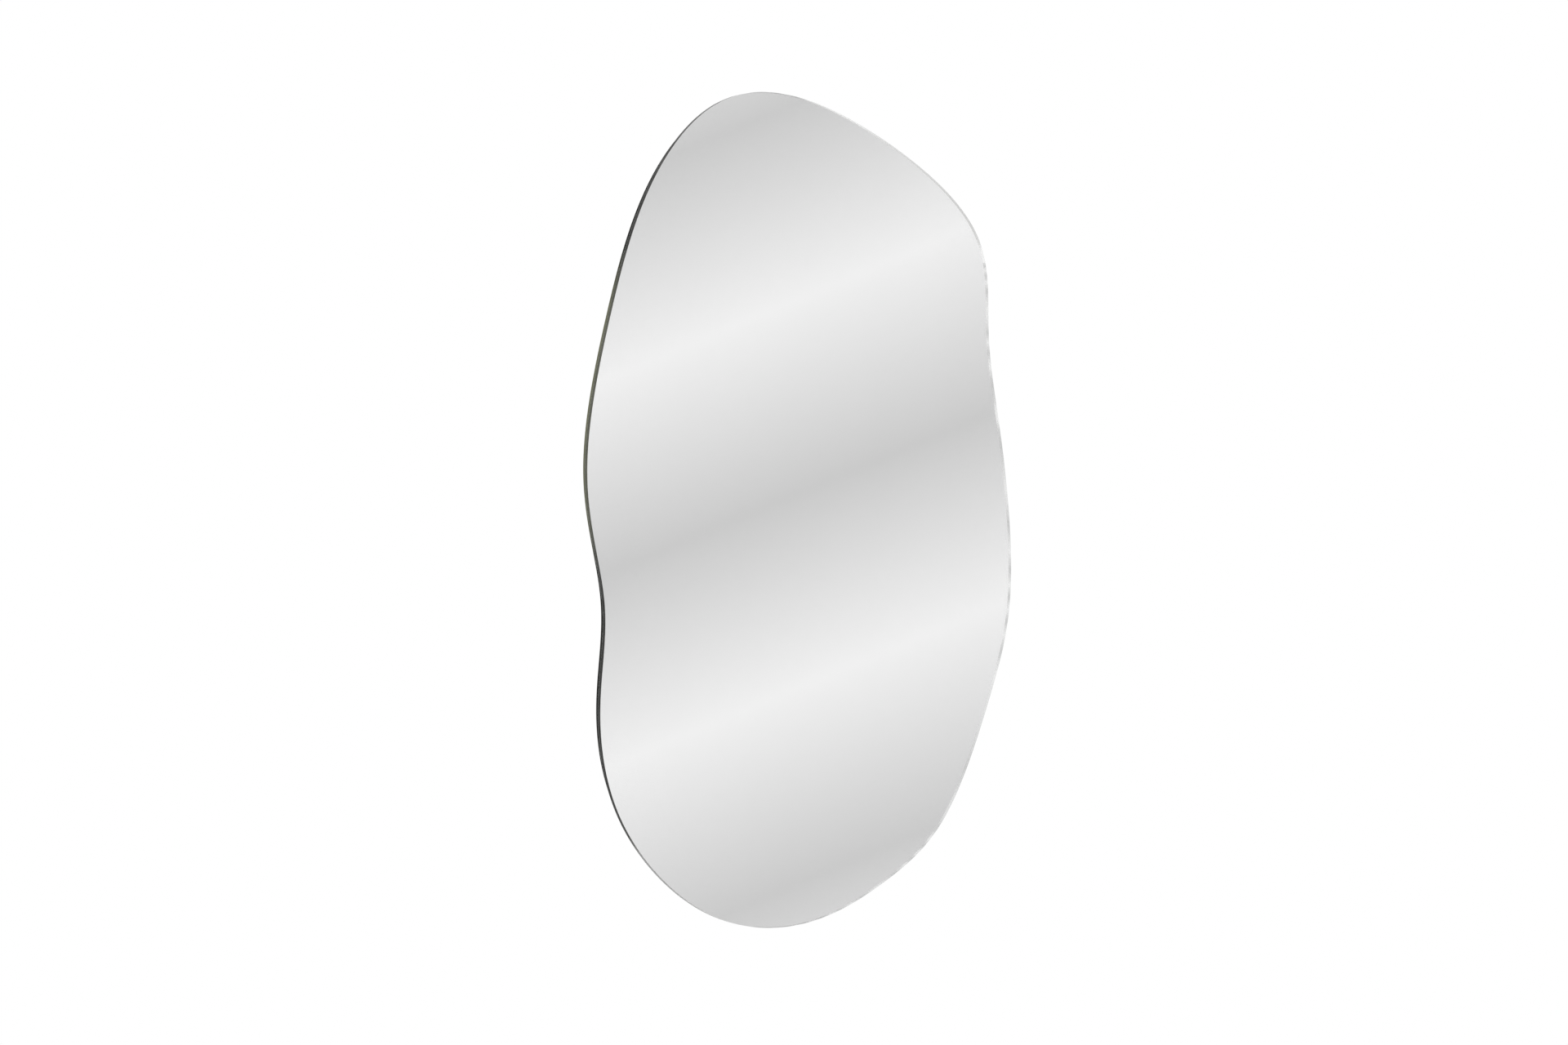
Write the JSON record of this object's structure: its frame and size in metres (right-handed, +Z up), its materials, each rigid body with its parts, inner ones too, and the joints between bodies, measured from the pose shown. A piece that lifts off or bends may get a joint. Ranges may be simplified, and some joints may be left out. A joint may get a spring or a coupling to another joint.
{
  "type": "frameless wall mirror",
  "caption": "Frameless wall mirror with a free-form rounded outline and a polished edge, floating on a slightly smaller black back board with two D-ring hangers.",
  "frame": {"origin": "on the wall plane, midway between the two wall hooks that carry the rings", "axes": "+X to the right as seen from the front, +Y into the wall, +Z up; the mirror looks towards -Y"},
  "size_m": [0.5, 0.0213, 0.7],
  "materials": {
    "glass": "clear float glass, ground and polished edge",
    "silver": "silvered",
    "paint": "grey-green protective paint",
    "film": "white splinter film",
    "foam": "white foam tape",
    "adhesive": "cured white mirror adhesive",
    "board": "fibreboard with black matt lacquer",
    "zinc_steel": "zinc-plated steel",
    "rubber": "black rubber"
  },
  "bodies": {
    "mirror": {"glass_pane": "glass", "silvering": "silver", "back_paint": "paint", "safety_film": "film", "foam_tape": "foam", "adhesive_beads": "adhesive", "backing_board": "board", "hanger_strap_left": "zinc_steel", "hanger_strap_right": "zinc_steel", "hanger_screws_left": "zinc_steel", "hanger_screws_right": "zinc_steel", "bumper_upper_left": "rubber", "bumper_upper_right": "rubber", "bumper_lower_left": "rubber", "bumper_lower_right": "rubber", "bumper_washers": "zinc_steel", "bumper_screws": "zinc_steel"},
    "ring_left": {"hanger_ring_left": "zinc_steel"},
    "ring_right": {"hanger_ring_right": "zinc_steel"}
  },
  "joints": [
    {"name": "ring_left_swing", "type": "hinge", "parent": "mirror", "child": "ring_left", "pos_m": [-0.12, -0.0054, -0.02049], "axis": [-1, 0, 0], "range_deg": [0, 178]},
    {"name": "ring_right_swing", "type": "hinge", "parent": "mirror", "child": "ring_right", "pos_m": [0.12, -0.0054, -0.02049], "axis": [-1, 0, 0], "range_deg": [0, 178]}
  ]
}
